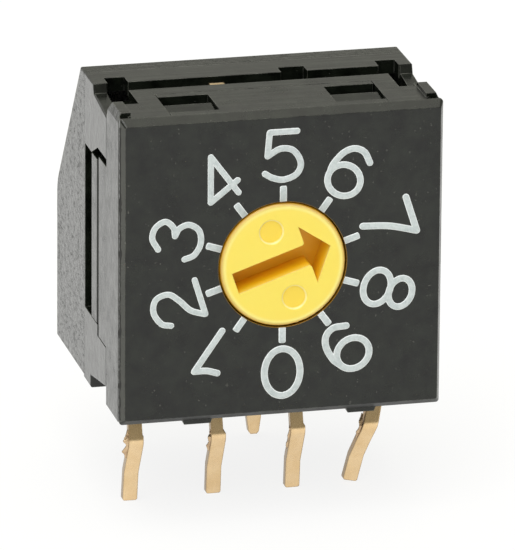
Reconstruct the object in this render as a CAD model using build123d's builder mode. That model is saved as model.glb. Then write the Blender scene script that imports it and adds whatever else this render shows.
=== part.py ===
from build123d import *
import math
import os

# Rotary DIP switch, ten positions, laid on its side on a circuit board so that the dial looks forward.
# Millimetres, +X to the right, +Y backwards, +Z up, the board's surface at Z = 0.
# The origin is the middle of the terminal guard's seating rib, on the board.
# "Depth" is measured backwards from the dial face and "height" upwards from the rotor's axis.

os.makedirs("parts", exist_ok=True)

# Clearances
running_gap = 0.04              # radial clearance of the turning fits
seat_gap = 0.03                 # between moulded parts that only locate each other
board_gap = 0.15                # below the body, kept open by the rib and the standoffs

# Terminal grid
terminal_pitch = 2.54
side_margin = 1.19              # from the outer terminal's middle to the body's side
row_spacing = 2 * terminal_pitch

# Front cover
cover_width = 3 * terminal_pitch + 2 * side_margin
cover_height = 9.7
cover_corner = 0.1
cover_thickness = 0.42
bevel_depth = 0.23
bevel_side = 0.12
bevel_top = 0.19
face_corner = 0.06
rim_depth = 0.33                # where the square rim ends and the parting groove begins
rim_inset = 0.08
dial_bore_radius = 2.0

# Snap flaps of the cover, above and below, and its standoffs
flap_width = 6.7
flap_length = 2.6
flap_thickness = 0.35
flap_neck = 3.6
notch_start = 0.75
notch_end = 2.33
standoff_inner = 2.15
standoff_width = 0.82
standoff_draft = 0.12
standoff_start = 0.27
standoff_length = 0.5

# Housing
body_step = 0.05                # from the cover's upper side down to the housing's
housing_depth = 3.22            # rear face of the housing, where the contact base seats
shoulder_depth = 2.05           # where the guard's arms butt
arm_thickness = 0.4             # the guard's side wall, let in beside the housing
tab_top = 2.78                  # from the axis
tab_bottom = 2.96
tab_chamfer = 0.12
pocket_width = 0.95             # corner pockets behind the ears, from the body's side
pocket_height = 1.4
pocket_start = 1.85
ear_thickness = 0.42
ear_rise = 0.13                 # above the housing
ear_start = 0.62
ear_length = 1.13
ear_chamfer = 0.12
ear_chamfer_height = 0.26
ear_relief = 0.2
barb_start = 0.8
barb_length = 0.88
barb_rise = 0.31
barb_toe = 0.2
well_depth = 0.7                # clearance well behind each barb, below the flap
well_margin = 0.08

# Rotor
rotor_proud = 0.04
rotor_rim_radius = 0.14
arrow_angle = 19.0              # pointer direction: in the seventh position, within its play
arrow_depth = 1.0
arrow_tail = 1.555
arrow_tip = 1.56
arrow_neck = 0.82
arrow_shaft_width = 0.7
arrow_head_width = 1.92
arrow_corner = 0.09
dimple_radius = 0.34
dimple_offset = 1.12
dimple_depth = 0.08
dimple_chamfer = 0.07
flange_radius = 3.3
flange_thickness = 0.6
flange_room = 0.15              # radial room for the flange in the chamber
detent_count = 10
detent_radius = 0.42
detent_depth = 0.17
hub_length = 0.52
pilot_radius = 0.55
pilot_length = 1.4

# Seal ring
gland_start = 0.55
gland_width = 0.5               # radial, outside the dial's bore
ring_gap = 0.035

# Click springs
spring_strip = 0.12
spring_width = 0.5
spring_end_height = 2.62
spring_bow = 0.34
spring_offset = 0.46
spring_knee = 0.62
spring_tip_gap = 0.035
spring_knee_bend = 0.16
spring_tip_bend = 0.2
spring_room = 0.13

# Code disc
disc_thickness = 0.12
disc_tracks = (0.95, 1.45, 1.95)
disc_slot = 0.28
disc_web = 0.05                 # between the outer track and the pegs
disc_rim = 0.09
hub_rim = 0.1
peg_radius = 0.16
peg_count = 3

# Contact base and its terminals
base_thickness = 0.86
base_inset = 0.625              # below the housing's upper side
strap_thickness = 0.25
strap_width = 0.4
strip_drop = 0.16               # side strips end this far below the housing's tabs
strip_lift = 0.34
strip_chamfer = 0.15
potting_wall = 0.5
potting_depth = 0.3
potting_corner = 0.3
pin_width = 0.46
pin_thickness = 0.25
pin_reach = 3.57                # from the board to the terminal tips
pin_straight = 0.3
knee_reach = 1.45               # below the board
knee_forward = 0.36
heel_reach = 2.6
heel_back = 0.28
tip_back = 0.4
pin_bend = 0.22
pin_corner = 0.07
pin_neck_relief = 0.07          # narrower on the right, from the body down to the knee
pin_neck_reach = 1.2
pin_neck_flare = 0.3
finger_width = 0.36
finger_thickness = 0.15
finger_pitch = 0.95
finger_root = 2.75              # below the axis
finger_touch = 1.15
finger_lip = 0.35
finger_gap = 0.095
stub_drop = 0.02                # cut tie stub, below the housing's upper side
common_drop = 3.85              # rear strap of the common terminal, below the axis

# Rear terminal guard
bar_gap = 0.68                  # open gap between the housing and the guard's top bar
guard_cover = 0.24              # from the rear terminal's middle to the guard's back
guard_rise = 0.05               # above the housing
slope_run = 3.36
guard_knee = 0.15               # height where the slope meets the upright back
guard_knee_radius = 1.2
guard_wall = 0.45
guard_edge = 0.06
rib_start = 0.12                # behind the contact base
rib_length = 1.0
rib_height = 0.08
arm_tip_upper = 0.45            # arm outlines, inside the housing's upper and lower sides
arm_root_upper = 0.23
arm_tip_lower = 0.55
arm_root_lower = 0.18
window_gap = 0.04
window_length = 0.91
window_room_upper = 0.01
window_room_lower = 0.03
jaw_upper = 0.25
jaw_lower = 0.04
jaw_behind = 0.05
notch_depth = 0.53
side_notch_margin = 0.44
side_notch_width = 0.64
middle_notch_width = 0.82
middle_notch_depth = 0.48
terminal_slot = 0.62
terminal_slot_rise = 0.5        # above the rear strap

# Sizes that follow
half_width = cover_width / 2
face_width = cover_width - 2 * bevel_side
face_height = cover_height - 2 * bevel_top
axis_height = cover_height / 2 + board_gap
body_top = cover_height / 2 - body_step
body_height = 2 * body_top
ear_height = body_top + ear_rise
inner_half = half_width - arm_thickness - seat_gap - 0.02
pocket_inner = half_width - pocket_width
pocket_low = body_top - pocket_height
flap_floor = body_top - flap_thickness - seat_gap
barb_inner = flap_neck / 2 + 2 * seat_gap
barb_outer = flap_width / 2 - seat_gap
barb_back = barb_start + barb_length
well_width = barb_outer - barb_inner - 2 * well_margin
well_length = notch_end - barb_back
detent_pitch = 360 / detent_count
knob_radius = dial_bore_radius - running_gap
gland_radius = dial_bore_radius + gland_width
ring_radius = (knob_radius + gland_radius) / 2
ring_section = (gland_radius - knob_radius) / 2 - ring_gap
gland_depth = 2 * ring_section + seat_gap
chamber_front = gland_start + gland_depth
chamber_radius = flange_radius + flange_room
flange_front = chamber_front + seat_gap
flange_back = flange_front + flange_thickness
hub_back = flange_back + hub_length
disc_back = hub_back + disc_thickness
peg_offset = disc_tracks[-1] + disc_slot / 2 + disc_web + peg_radius
disc_radius = peg_offset + peg_radius + disc_rim
hub_radius = disc_radius + hub_rim
spring_nose = flange_radius - detent_depth + spring_tip_gap + spring_strip / 2
spring_reach = spring_nose + spring_offset + spring_bow
base_back = housing_depth + base_thickness
base_top = body_top - base_inset
strip_top = tab_top - strip_drop
strip_bottom = tab_bottom - strip_lift
row_depth = housing_depth + strap_thickness / 2
common_depth = row_depth + tip_back + row_spacing
common_across = terminal_pitch / 2
guard_top = body_top + guard_rise
guard_front = housing_depth + bar_gap
guard_back = common_depth + guard_cover
guard_ridge = guard_back - slope_run
guard_bottom = axis_height - rib_height
rib_front = base_back + rib_start
rib_back = rib_front + rib_length
seat_depth = (rib_front + rib_back) / 2
window_front = base_back + window_gap
window_back = window_front + window_length

# Planes through the middle of the dial
dial_middle = (0, -seat_depth, axis_height)
dial = Plane(origin=dial_middle, x_dir=(1, 0, 0), z_dir=(0, -1, 0))
arrow_turn = math.radians(arrow_angle)
pointer = Plane(origin=dial_middle, x_dir=(math.cos(arrow_turn), 0, math.sin(arrow_turn)), z_dir=(0, -1, 0))
side = Plane(origin=dial_middle, x_dir=(0, 1, 0), z_dir=(1, 0, 0))
level = Plane(origin=dial_middle, x_dir=(1, 0, 0), z_dir=(0, 0, 1))


# Front cover: bevelled plate with the dial bore, two snap flaps and two standoffs
def flap_outline():
    """One snap flap seen from above: a neck between a front strap and a rear crossbar."""
    front = cover_thickness - 0.1
    with Locations((0, front)):
        Rectangle(flap_width, notch_start - front, align=(Align.CENTER, Align.MIN))
    with Locations((0, notch_start)):
        Rectangle(flap_neck, notch_end - notch_start, align=(Align.CENTER, Align.MIN))
    with Locations((0, notch_end)):
        Rectangle(flap_width, flap_length - notch_end, align=(Align.CENTER, Align.MIN))


with BuildPart() as front_cover:
    with BuildSketch(dial):
        RectangleRounded(face_width, face_height, face_corner)
    with BuildSketch(dial.offset(-bevel_depth)):
        RectangleRounded(cover_width, cover_height, cover_corner)
    loft()
    with BuildSketch(dial.offset(-bevel_depth)):
        RectangleRounded(cover_width, cover_height, cover_corner)
    extrude(amount=bevel_depth - rim_depth)
    with BuildSketch(dial.offset(-rim_depth)):
        RectangleRounded(cover_width - 2 * rim_inset, cover_height - 2 * rim_inset, cover_corner)
    extrude(amount=rim_depth - cover_thickness)
    for way in (1, -1):
        with BuildSketch(level.offset(way * body_top)):
            flap_outline()
        extrude(amount=-way * flap_thickness)
    with BuildSketch(dial.offset(-standoff_start)):
        for way in (1, -1):
            with BuildLine():
                Polyline(
                    (way * (standoff_inner - standoff_draft), 0.1 - body_top),
                    (way * standoff_inner, -axis_height),
                    (way * (standoff_inner + standoff_width), -axis_height),
                    (way * (standoff_inner + standoff_width + standoff_draft), 0.1 - body_top),
                    close=True,
                )
            make_face()
    extrude(amount=-standoff_length)
    with BuildSketch(dial):
        Circle(dial_bore_radius)
    extrude(amount=-cover_thickness, mode=Mode.SUBTRACT)


# Housing: block with ears, side tabs, snap barbs and the rotor's chamber
with BuildPart() as housing:
    with BuildSketch(dial.offset(-cover_thickness)):
        Rectangle(cover_width, body_height)
    extrude(amount=cover_thickness - shoulder_depth)
    with BuildSketch(dial.offset(-shoulder_depth)):
        Rectangle(2 * inner_half, body_height)
    extrude(amount=shoulder_depth - housing_depth)
    # corner pockets behind the ears
    with BuildSketch(dial.offset(-pocket_start)):
        with GridLocations(pocket_inner + inner_half, pocket_low + body_top, 2, 2):
            Rectangle(inner_half - pocket_inner, pocket_height)
    extrude(amount=pocket_start - housing_depth, mode=Mode.SUBTRACT)
    # side tabs that the guard clips round
    with BuildSketch(side):
        with BuildLine():
            Polyline(
                (shoulder_depth, tab_top),
                (housing_depth, tab_top),
                (housing_depth, -tab_bottom),
                (shoulder_depth, -tab_bottom),
                close=True,
            )
        make_face()
    extrude(amount=half_width, both=True)
    tab_edges = housing.edges().filter_by(Axis.Z).filter_by(
        lambda edge: abs(abs(edge.center().X) - half_width) < 0.01 and edge.center().Y > housing_depth - seat_depth - 0.01
    )
    chamfer(tab_edges, tab_chamfer)
    # ears at the two upper corners
    for way in (1, -1):
        with BuildSketch(side.offset(way * half_width)):
            with BuildLine():
                Polyline(
                    (ear_start, body_top - ear_relief),
                    (ear_start, ear_height),
                    (ear_start + ear_length, ear_height),
                    (shoulder_depth, body_top - arm_tip_upper + 0.05),
                    close=True,
                )
            make_face()
        extrude(amount=-way * ear_thickness)
    for way in (1, -1):
        with BuildSketch(side.offset(way * half_width)):
            with BuildLine():
                Polyline(
                    (ear_start + ear_length, ear_height),
                    (shoulder_depth, body_top - arm_tip_upper + 0.05),
                    (shoulder_depth, ear_height),
                    close=True,
                )
            make_face()
        extrude(amount=-way * ear_thickness, mode=Mode.SUBTRACT)
    # sloping outer edge of each ear, and the relief in front of it
    for way in (1, -1):
        with BuildSketch(dial.offset(-cover_thickness)):
            with BuildLine():
                Polyline(
                    (way * half_width, ear_height - ear_chamfer_height),
                    (way * half_width, ear_height),
                    (way * (half_width - ear_chamfer), ear_height),
                    close=True,
                )
            make_face()
        extrude(amount=cover_thickness - shoulder_depth, mode=Mode.SUBTRACT)
        with BuildSketch(level.offset(body_top)):
            with Locations((way * (half_width - ear_thickness / 2), (cover_thickness + ear_start) / 2)):
                Rectangle(ear_thickness - 2 * rim_inset, ear_start - cover_thickness)
        extrude(amount=-ear_relief, mode=Mode.SUBTRACT)
    # recesses for the cover's flaps, each with two snap barbs
    for way in (1, -1):
        with BuildSketch(level.offset(way * body_top)):
            with Locations((0, cover_thickness)):
                Rectangle(
                    flap_width + 2 * seat_gap,
                    flap_length + seat_gap - cover_thickness,
                    align=(Align.CENTER, Align.MIN),
                )
        extrude(amount=-way * (body_top - flap_floor), mode=Mode.SUBTRACT)
        for across in (1, -1):
            with BuildSketch(side.offset(across * barb_inner)):
                with BuildLine():
                    Polyline(
                        (barb_start, way * flap_floor),
                        (barb_back, way * flap_floor),
                        (barb_back, way * (flap_floor + barb_rise)),
                        (barb_start, way * (flap_floor + barb_toe)),
                        close=True,
                    )
                make_face()
            extrude(amount=across * (barb_outer - barb_inner))
        # clearance wells behind the barbs
        with BuildSketch(level.offset(way * flap_floor)):
            with Locations((0, barb_back)):
                with GridLocations(barb_inner + barb_outer, 0, 2, 1):
                    Rectangle(well_width, well_length, align=(Align.CENTER, Align.MIN))
        extrude(amount=-way * well_depth, mode=Mode.SUBTRACT)
    # bore, seal gland and chamber, opening to the rear
    with BuildSketch(dial.offset(-cover_thickness)):
        Circle(dial_bore_radius)
    extrude(amount=cover_thickness - gland_start, mode=Mode.SUBTRACT)
    with BuildSketch(dial.offset(-gland_start)):
        Circle(gland_radius)
    extrude(amount=-gland_depth, mode=Mode.SUBTRACT)
    with BuildSketch(dial.offset(-chamber_front)):
        Circle(chamber_radius)
        Rectangle(2 * (spring_reach + spring_strip / 2 + ring_gap), 2 * (spring_end_height + spring_room))
    extrude(amount=chamber_front - housing_depth, mode=Mode.SUBTRACT)


# Rotor: screwdriver dial with a sunk arrow, detent flange, hub and rear pilot
with BuildPart() as rotor:
    with BuildSketch(dial.offset(rotor_proud)):
        Circle(knob_radius)
    extrude(amount=-rotor_proud - flange_front)
    fillet(rotor.edges().group_by(Axis.Y)[0], rotor_rim_radius)
    with BuildSketch(dial.offset(-flange_front)):
        Circle(flange_radius)
        with PolarLocations(flange_radius + detent_radius - detent_depth, detent_count):
            Circle(detent_radius, mode=Mode.SUBTRACT)
    extrude(amount=-flange_thickness)
    with BuildSketch(dial.offset(-flange_back)):
        Circle(hub_radius)
    extrude(amount=-hub_length)
    with BuildSketch(dial.offset(-hub_back)):
        Circle(pilot_radius)
    extrude(amount=-pilot_length)
    with BuildSketch(dial.offset(-hub_back)):
        with PolarLocations(peg_offset, peg_count):
            Circle(peg_radius)
    extrude(amount=-disc_thickness)
    # arrow-shaped slot for the screwdriver
    with BuildSketch(pointer.offset(rotor_proud)) as arrow:
        with BuildLine():
            Polyline(
                (-arrow_tail, -arrow_shaft_width / 2),
                (arrow_neck, -arrow_shaft_width / 2),
                (arrow_neck, -arrow_head_width / 2),
                (arrow_tip, 0),
                (arrow_neck, arrow_head_width / 2),
                (arrow_neck, arrow_shaft_width / 2),
                (-arrow_tail, arrow_shaft_width / 2),
                close=True,
            )
        make_face()
        inner_corners = [
            corner for corner in arrow.vertices()
            if abs(corner.Y) < arrow_shaft_width / 2 + 0.01 and abs(corner.X - arrow_neck) < 0.01
        ]
        fillet(inner_corners, arrow_corner)
    extrude(amount=-arrow_depth, mode=Mode.SUBTRACT)
    # two moulding dimples either side of the arrow
    with BuildSketch(pointer.offset(rotor_proud)):
        with GridLocations(0, 2 * dimple_offset, 1, 2):
            Circle(dimple_radius)
    extrude(amount=-dimple_depth, mode=Mode.SUBTRACT)
    dimple_rims = [
        edge for edge in rotor.edges().filter_by(GeomType.CIRCLE)
        if abs(edge.radius - dimple_radius) < 0.001 and abs(edge.center().Y + seat_depth + rotor_proud) < 0.001
    ]
    chamfer(dimple_rims, dimple_chamfer)


# Seal ring in the gland, round the rotor's neck
with BuildPart() as o_ring:
    with BuildSketch(side):
        with Locations((gland_start + gland_depth / 2, ring_radius)):
            Circle(ring_section)
    revolve(axis=Axis(dial_middle, (0, 1, 0)))


# Code disc on the rotor's rear face, with the openings that code the ten positions
with BuildPart() as code_disc:
    with BuildSketch(dial.offset(-hub_back)):
        Circle(disc_radius)
        Circle(pilot_radius + running_gap, mode=Mode.SUBTRACT)
        with PolarLocations(peg_offset, peg_count):
            Circle(peg_radius, mode=Mode.SUBTRACT)
        for track, radius in enumerate(disc_tracks):
            for slot in range(track + 2):
                with BuildLine() as slot_line:
                    CenterArc((0, 0), radius, 20 + 25 * track + slot * 360 / (track + 2), 180 / (track + 2))
                trace(slot_line.line, line_width=disc_slot, mode=Mode.SUBTRACT)
    extrude(amount=-disc_thickness)


# Click springs: a bowed strip on each side whose nose rests in a detent
def click_spring(way):
    """A bowed steel strip beside the rotor; way is 1 on the right and -1 on the left."""
    nose = spring_nose - 0.3 * spring_tip_bend
    knee = spring_nose + spring_offset
    with BuildPart() as spring:
        with BuildSketch(dial.offset(-(flange_front + flange_back - spring_width) / 2)):
            with BuildLine():
                FilletPolyline(
                    (way * spring_reach, spring_end_height),
                    (way * knee, spring_knee),
                    (way * nose, 0),
                    (way * knee, -spring_knee),
                    (way * spring_reach, -spring_end_height),
                    radius=(spring_knee_bend, spring_tip_bend, spring_knee_bend),
                )
            trace(line_width=spring_strip)
        extrude(amount=-spring_width)
    return spring


click_spring_left = click_spring(-1)
click_spring_right = click_spring(1)


# Terminals: stamped strips with a contact finger, a strap in the base and a kinked solder pin
pin_bottom = -axis_height - pin_reach


def pin_side_profile():
    """The kinked pin seen from the side: down from the strap, forward to the knee, back to the tip."""
    with BuildSketch(side) as profile:
        with BuildLine():
            FilletPolyline(
                (row_depth, -base_top),
                (row_depth, -axis_height - pin_straight),
                (row_depth - knee_forward, -axis_height - knee_reach),
                (row_depth + heel_back, -axis_height - heel_reach),
                (row_depth + tip_back, pin_bottom),
                radius=pin_bend,
            )
        trace(line_width=pin_thickness)
    return profile.sketch


def finger_profile(across):
    """A contact finger seen from the side, leaning from the base towards the code disc."""
    touch = disc_back + finger_gap + finger_thickness / 2
    with BuildSketch(side.offset(across)) as profile:
        with BuildLine():
            FilletPolyline(
                (row_depth, -finger_root - finger_lip),
                (row_depth, -finger_root),
                (touch, -finger_touch),
                (touch + finger_lip / 2, -finger_touch + finger_lip),
                radius=0.12,
            )
        trace(line_width=finger_thickness)
    return profile.sketch


def front_terminal(across, finger_across, lean, stub=False):
    """A terminal of the front row. lean lists (height, shift) points down the pin to its tip."""
    with BuildPart() as terminal:
        extrude(pin_side_profile(), amount=half_width, both=True)
        with BuildSketch(dial) as outline:
            with BuildLine():
                FilletPolyline(
                    (across, 0),
                    *[(across + shift, -axis_height - height) for height, shift in lean],
                    radius=0.5,
                )
            trace(line_width=pin_width)
            fillet(outline.vertices().sort_by(Axis.Y)[:2], pin_corner)
            edge = across + pin_width / 2
            with BuildLine():
                Polyline(
                    (edge + 0.1, -base_top),
                    (edge - pin_neck_relief, -base_top),
                    (edge - pin_neck_relief, -axis_height - pin_neck_reach),
                    (edge + 0.1, -axis_height - pin_neck_reach - pin_neck_flare),
                    close=True,
                )
            make_face(mode=Mode.SUBTRACT)
        extrude(amount=-guard_back, mode=Mode.INTERSECT)
        with BuildSketch(dial.offset(-housing_depth)):
            with BuildLine():
                Polyline(
                    (across, -base_top - 0.05),
                    (across, -base_top + finger_lip),
                    (finger_across, -finger_root - 1.5 * finger_lip),
                    (finger_across, -finger_root + 0.1),
                )
            trace(line_width=strap_width)
            if stub:
                with Locations((across, -base_top)):
                    Rectangle(pin_width, base_top + body_top - stub_drop, align=(Align.CENTER, Align.MIN))
        extrude(amount=-strap_thickness)
        extrude(finger_profile(finger_across), amount=finger_width / 2, both=True)
    return terminal


# Each pin leaves the body on the 2.54 mm grid; the last one is bent towards the others.
terminal_1 = front_terminal(
    -1.5 * terminal_pitch,
    -2 * finger_pitch,
    lean=((0.3, -0.02), (1.6, -0.05), (pin_reach, -0.08)),
)
terminal_2 = front_terminal(
    -0.5 * terminal_pitch,
    -finger_pitch,
    lean=((0.3, 0), (1.6, 0.01), (pin_reach - 0.03, 0.02)),
    stub=True,
)
terminal_4 = front_terminal(
    0.5 * terminal_pitch,
    finger_pitch,
    lean=((0.3, -0.01), (1.6, -0.02), (pin_reach - 0.03, -0.01)),
)
terminal_8 = front_terminal(
    1.5 * terminal_pitch,
    2 * finger_pitch,
    lean=((0.75, -0.08), (2.0, -0.4), (pin_reach - 0.11, -0.71)),
)

# Common terminal: its strap passes through the base and runs back to the rear row
rear_strap = base_back - potting_depth - strap_thickness

with BuildPart() as terminal_common:
    extrude(finger_profile(0), amount=finger_width / 2, both=True)
    with BuildSketch(level.offset(-finger_root - finger_lip)):
        with Locations((0, housing_depth)):
            Rectangle(finger_width, rear_strap + strap_thickness - housing_depth, align=(Align.CENTER, Align.MIN))
    extrude(amount=strap_thickness)
    with BuildSketch(dial.offset(-rear_strap)):
        with BuildLine():
            Polyline((0, -finger_root), (0, -finger_root - finger_lip), (common_across, -common_drop))
        trace(line_width=finger_width)
        with Locations((common_across, -common_drop)):
            Rectangle(pin_width, 2 * strap_thickness)
    extrude(amount=-strap_thickness)
    with BuildSketch(side.offset(common_across)):
        with BuildLine():
            FilletPolyline(
                (rear_strap, -common_drop),
                (common_depth, -common_drop),
                (common_depth, pin_bottom),
                radius=0.4,
            )
        trace(line_width=pin_thickness)
    extrude(amount=pin_width / 2, both=True)
    # tapered, rounded tip
    with BuildSketch(dial.offset(-common_depth + pin_thickness)):
        for way in (1, -1):
            with BuildLine():
                Polyline(
                    (common_across + way * pin_width / 2, pin_bottom + 0.55),
                    (common_across + way * pin_width / 2, pin_bottom),
                    (common_across + way * pin_width * 0.22, pin_bottom),
                    (common_across + way * pin_width * 0.36, pin_bottom + 0.08),
                    close=True,
                )
            make_face()
    extrude(amount=-2 * pin_thickness, mode=Mode.SUBTRACT)


# Contact base: plate that closes the chamber, with side strips, strap grooves and a potting pocket
with BuildPart() as contact_base:
    with BuildSketch(dial.offset(-housing_depth)):
        Rectangle(2 * inner_half, 2 * base_top)
    extrude(amount=-base_thickness)
    with BuildSketch(side):
        with BuildLine():
            Polyline(
                (housing_depth, strip_top),
                (base_back, strip_top),
                (base_back, -strip_bottom),
                (housing_depth, -strip_bottom),
                close=True,
            )
        make_face()
    extrude(amount=half_width, both=True)
    strip_edges = contact_base.edges().filter_by(Axis.Z).filter_by(
        lambda edge: abs(abs(edge.center().X) - half_width) < 0.01 and edge.center().Y < housing_depth - seat_depth + 0.01
    )
    chamfer(strip_edges, strip_chamfer)
    with BuildSketch(dial.offset(-base_back)):
        RectangleRounded(2 * (inner_half - potting_wall), 2 * (base_top - potting_wall), potting_corner)
    extrude(amount=potting_depth, mode=Mode.SUBTRACT)
    with BuildSketch(dial.offset(-housing_depth)):
        Circle(pilot_radius + running_gap)
    extrude(amount=-(hub_back + pilot_length + seat_gap - housing_depth), mode=Mode.SUBTRACT)
    for metal in (terminal_1, terminal_2, terminal_4, terminal_8, terminal_common):
        add(metal.part, mode=Mode.SUBTRACT)


# Potting resin behind the base, poured round the common terminal's strap
with BuildPart() as base_potting:
    with BuildSketch(dial.offset(-base_back + potting_depth)):
        RectangleRounded(2 * (inner_half - potting_wall), 2 * (base_top - potting_wall), potting_corner)
    extrude(amount=-potting_depth)
    add(terminal_common.part, mode=Mode.SUBTRACT)


# Terminal guard: wedge-shaped hood behind the base, with side arms that clip round the housing's tabs
with BuildPart() as terminal_guard:
    with BuildSketch(side) as guard_outline:
        with BuildLine():
            Polyline(
                (guard_front, guard_top),
                (guard_ridge, guard_top),
                (guard_back, guard_knee),
                (guard_back, -guard_bottom),
                (rib_back, -guard_bottom),
                (rib_back, -axis_height),
                (rib_front, -axis_height),
                (rib_front, arm_root_lower - body_top),
                (shoulder_depth, arm_tip_lower - body_top),
                (shoulder_depth, body_top - arm_tip_upper),
                (guard_front - 0.1, body_top - arm_root_upper),
                close=True,
            )
        make_face()
        knee = [corner for corner in guard_outline.vertices() if abs(corner.Y - guard_knee) < 0.01]
        fillet(knee, guard_knee_radius)
    extrude(amount=half_width, both=True)
    fillet(terminal_guard.faces().filter_by(Axis.X).edges(), guard_edge)
    # hollow between the side walls, open to the front
    slope_angle = math.atan2(guard_top - guard_knee, slope_run)
    slope_inset = guard_wall * math.tan(slope_angle / 2)
    inner_half_hollow = half_width - arm_thickness
    with BuildSketch(side):
        with BuildLine():
            Polyline(
                (guard_front, guard_top - guard_wall),
                (guard_ridge - slope_inset, guard_top - guard_wall),
                (guard_back - guard_wall, guard_knee - slope_inset * 0.65),
                (guard_back - guard_wall, guard_wall - guard_bottom),
                (rib_front, guard_wall - guard_bottom),
                (rib_front, -axis_height),
                (0, -axis_height),
                (0, guard_top),
                (guard_front, guard_top),
                close=True,
            )
        make_face()
    extrude(amount=inner_half_hollow, both=True, mode=Mode.SUBTRACT)
    # side windows, widening into the jaws that hold the housing's tabs
    with BuildSketch(side):
        with BuildLine():
            Polyline(
                (shoulder_depth - 1, tab_top + jaw_upper),
                (housing_depth + jaw_behind, tab_top + jaw_upper),
                (window_front, strip_top + window_room_upper),
                (window_back, strip_top + window_room_upper),
                (window_back, -strip_bottom - window_room_lower),
                (housing_depth + jaw_behind, -strip_bottom - window_room_lower),
                (housing_depth + jaw_behind, -tab_bottom - jaw_lower),
                (shoulder_depth - 1, -tab_bottom - jaw_lower),
                close=True,
            )
        make_face()
    extrude(amount=half_width, both=True, mode=Mode.SUBTRACT)
    # notches in the top bar's front edge
    with BuildSketch(level.offset(guard_top)):
        for way in (1, -1):
            with Locations((way * (half_width - side_notch_margin - side_notch_width / 2), guard_front)):
                Rectangle(side_notch_width, notch_depth, align=(Align.CENTER, Align.MIN))
        with Locations((common_across, guard_front)):
            Rectangle(middle_notch_width, middle_notch_depth, align=(Align.CENTER, Align.MIN))
    extrude(amount=-guard_wall, mode=Mode.SUBTRACT)
    # slot in the floor and groove in the back for the common terminal
    with BuildSketch(level.offset(-axis_height)):
        with Locations((common_across, rib_front)):
            Rectangle(terminal_slot, guard_back - rib_front, align=(Align.CENTER, Align.MIN))
    extrude(amount=axis_height - common_drop + terminal_slot_rise, mode=Mode.SUBTRACT)


# Labels and files
front_cover.part.label = "front_cover"
housing.part.label = "housing"
rotor.part.label = "rotor"
o_ring.part.label = "o_ring"
code_disc.part.label = "code_disc"
click_spring_left.part.label = "click_spring_left"
click_spring_right.part.label = "click_spring_right"
contact_base.part.label = "contact_base"
base_potting.part.label = "base_potting"
terminal_1.part.label = "terminal_1"
terminal_2.part.label = "terminal_2"
terminal_4.part.label = "terminal_4"
terminal_8.part.label = "terminal_8"
terminal_common.part.label = "terminal_common"
terminal_guard.part.label = "terminal_guard"

export_step(front_cover.part, "parts/front_cover.step")
export_step(housing.part, "parts/housing.step")
export_step(rotor.part, "parts/rotor.step")
export_step(o_ring.part, "parts/o_ring.step")
export_step(code_disc.part, "parts/code_disc.step")
export_step(click_spring_left.part, "parts/click_spring_left.step")
export_step(click_spring_right.part, "parts/click_spring_right.step")
export_step(contact_base.part, "parts/contact_base.step")
export_step(base_potting.part, "parts/base_potting.step")
export_step(terminal_1.part, "parts/terminal_1.step")
export_step(terminal_2.part, "parts/terminal_2.step")
export_step(terminal_4.part, "parts/terminal_4.step")
export_step(terminal_8.part, "parts/terminal_8.step")
export_step(terminal_common.part, "parts/terminal_common.step")
export_step(terminal_guard.part, "parts/terminal_guard.step")
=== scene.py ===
"""Finishes a rotary DIP switch and sets it in a small, plain product studio.

The switch stands as on its board: the dial looks along -Y, the terminals point down and the
guard is behind. Values whose names end in _mm are millimetres, and MM turns them into metres.
"Depth" is measured backwards from the dial face and "height" upwards from the rotor's axis.
"""

from __future__ import annotations

import logging
import math
import random
from dataclasses import dataclass, field
from enum import Enum

import bmesh
import bpy
from mathutils import Matrix, Vector


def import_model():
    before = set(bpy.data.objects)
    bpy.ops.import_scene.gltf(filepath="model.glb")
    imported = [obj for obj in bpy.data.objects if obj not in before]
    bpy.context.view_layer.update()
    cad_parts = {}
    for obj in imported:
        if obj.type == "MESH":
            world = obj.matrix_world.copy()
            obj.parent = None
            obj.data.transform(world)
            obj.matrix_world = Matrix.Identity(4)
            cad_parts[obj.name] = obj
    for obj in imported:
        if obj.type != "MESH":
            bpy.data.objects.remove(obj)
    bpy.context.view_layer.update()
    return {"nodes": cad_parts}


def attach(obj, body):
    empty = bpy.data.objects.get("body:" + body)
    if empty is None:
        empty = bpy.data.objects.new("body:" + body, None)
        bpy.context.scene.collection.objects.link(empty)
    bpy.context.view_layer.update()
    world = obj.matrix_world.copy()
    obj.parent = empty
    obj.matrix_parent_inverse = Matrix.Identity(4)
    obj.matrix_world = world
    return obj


LOG = logging.getLogger("rotary_dip_switch")

MM = 0.001
DIAL_FACE_Y_MM = -4.7
AXIS_Z_MM = 5.0
INK_MM = 0.022

BEVEL_SAMPLES = 6
# the cosine of a corner's turn where its wear starts, and where the wear is full
CORNER_START, CORNER_FULL = 0.985, 0.8
# the upward part of a face's normal where an underside starts, and where it is full
BELOW_START, BELOW_FULL = -0.3, -0.8

Colour = tuple[float, float, float, float]
Point = tuple[float, float]
Triple = tuple[float, float, float]
Inputs = dict[str | int, object] | tuple[object, ...]
Tree = bpy.types.NodeTree
Material = bpy.types.Material
Piece = bpy.types.Object
BMesh = bmesh.types.BMesh
Corner = bmesh.types.BMVert
# what an input is linked from: a socket, or a node, which then stands for its first output
Source = bpy.types.Node | bpy.types.NodeSocket


class Body(Enum):
    """The rigid body that every added piece rides on."""

    CASE = "case"


class End(Enum):
    """How the end of an ink stroke is shaped."""

    ROUND = 1.0
    SQUARISH = 0.7
    CUT = 0.0


def linear(hex_code: str) -> Colour:
    """Turn an sRGB hex colour into linear light.

    Args:
        hex_code: six hexadecimal digits after a hash sign.

    Returns:
        Red, green, blue and an alpha of 1.
    """
    parts = [int(hex_code[i : i + 2], 16) / 255 for i in (1, 3, 5)]
    light = [c / 12.92 if c <= 0.04045 else ((c + 0.055) / 1.055) ** 2.4 for c in parts]
    return (light[0], light[1], light[2], 1.0)


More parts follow.
